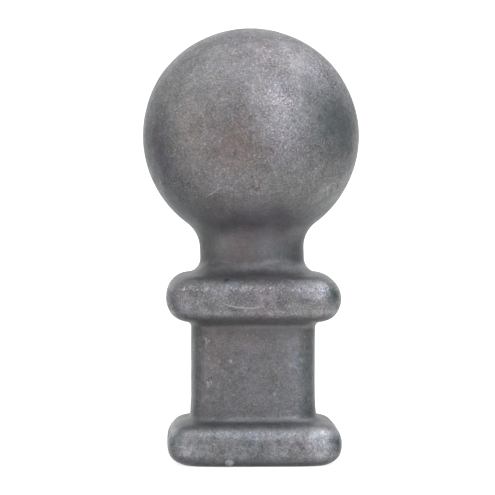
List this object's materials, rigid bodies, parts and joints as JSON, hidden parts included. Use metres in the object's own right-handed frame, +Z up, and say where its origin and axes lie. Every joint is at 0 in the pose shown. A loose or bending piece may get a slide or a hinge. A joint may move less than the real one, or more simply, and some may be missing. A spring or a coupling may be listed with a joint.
{
  "type": "ball fence finial",
  "caption": "Solid iron ball finial on a short round neck, with a moulded collar, a square shank and a moulded foot, to weld or fix on top of a fence post.",
  "frame": {"origin": "centre of the flat underside", "axes": "+Z up the finial's axis from the foot to the ball, X and Y square to the sides of the shank, foot and collar"},
  "size_m": [0.05, 0.05, 0.1002],
  "materials": {
    "bare_iron": "bare dark grey iron with a satin sheen, a fine speckled grain, bright worn ridges and a faint brown and purple tint"
  },
  "bodies": {
    "root": {"ball_finial": "bare_iron"}
  },
  "joints": []
}
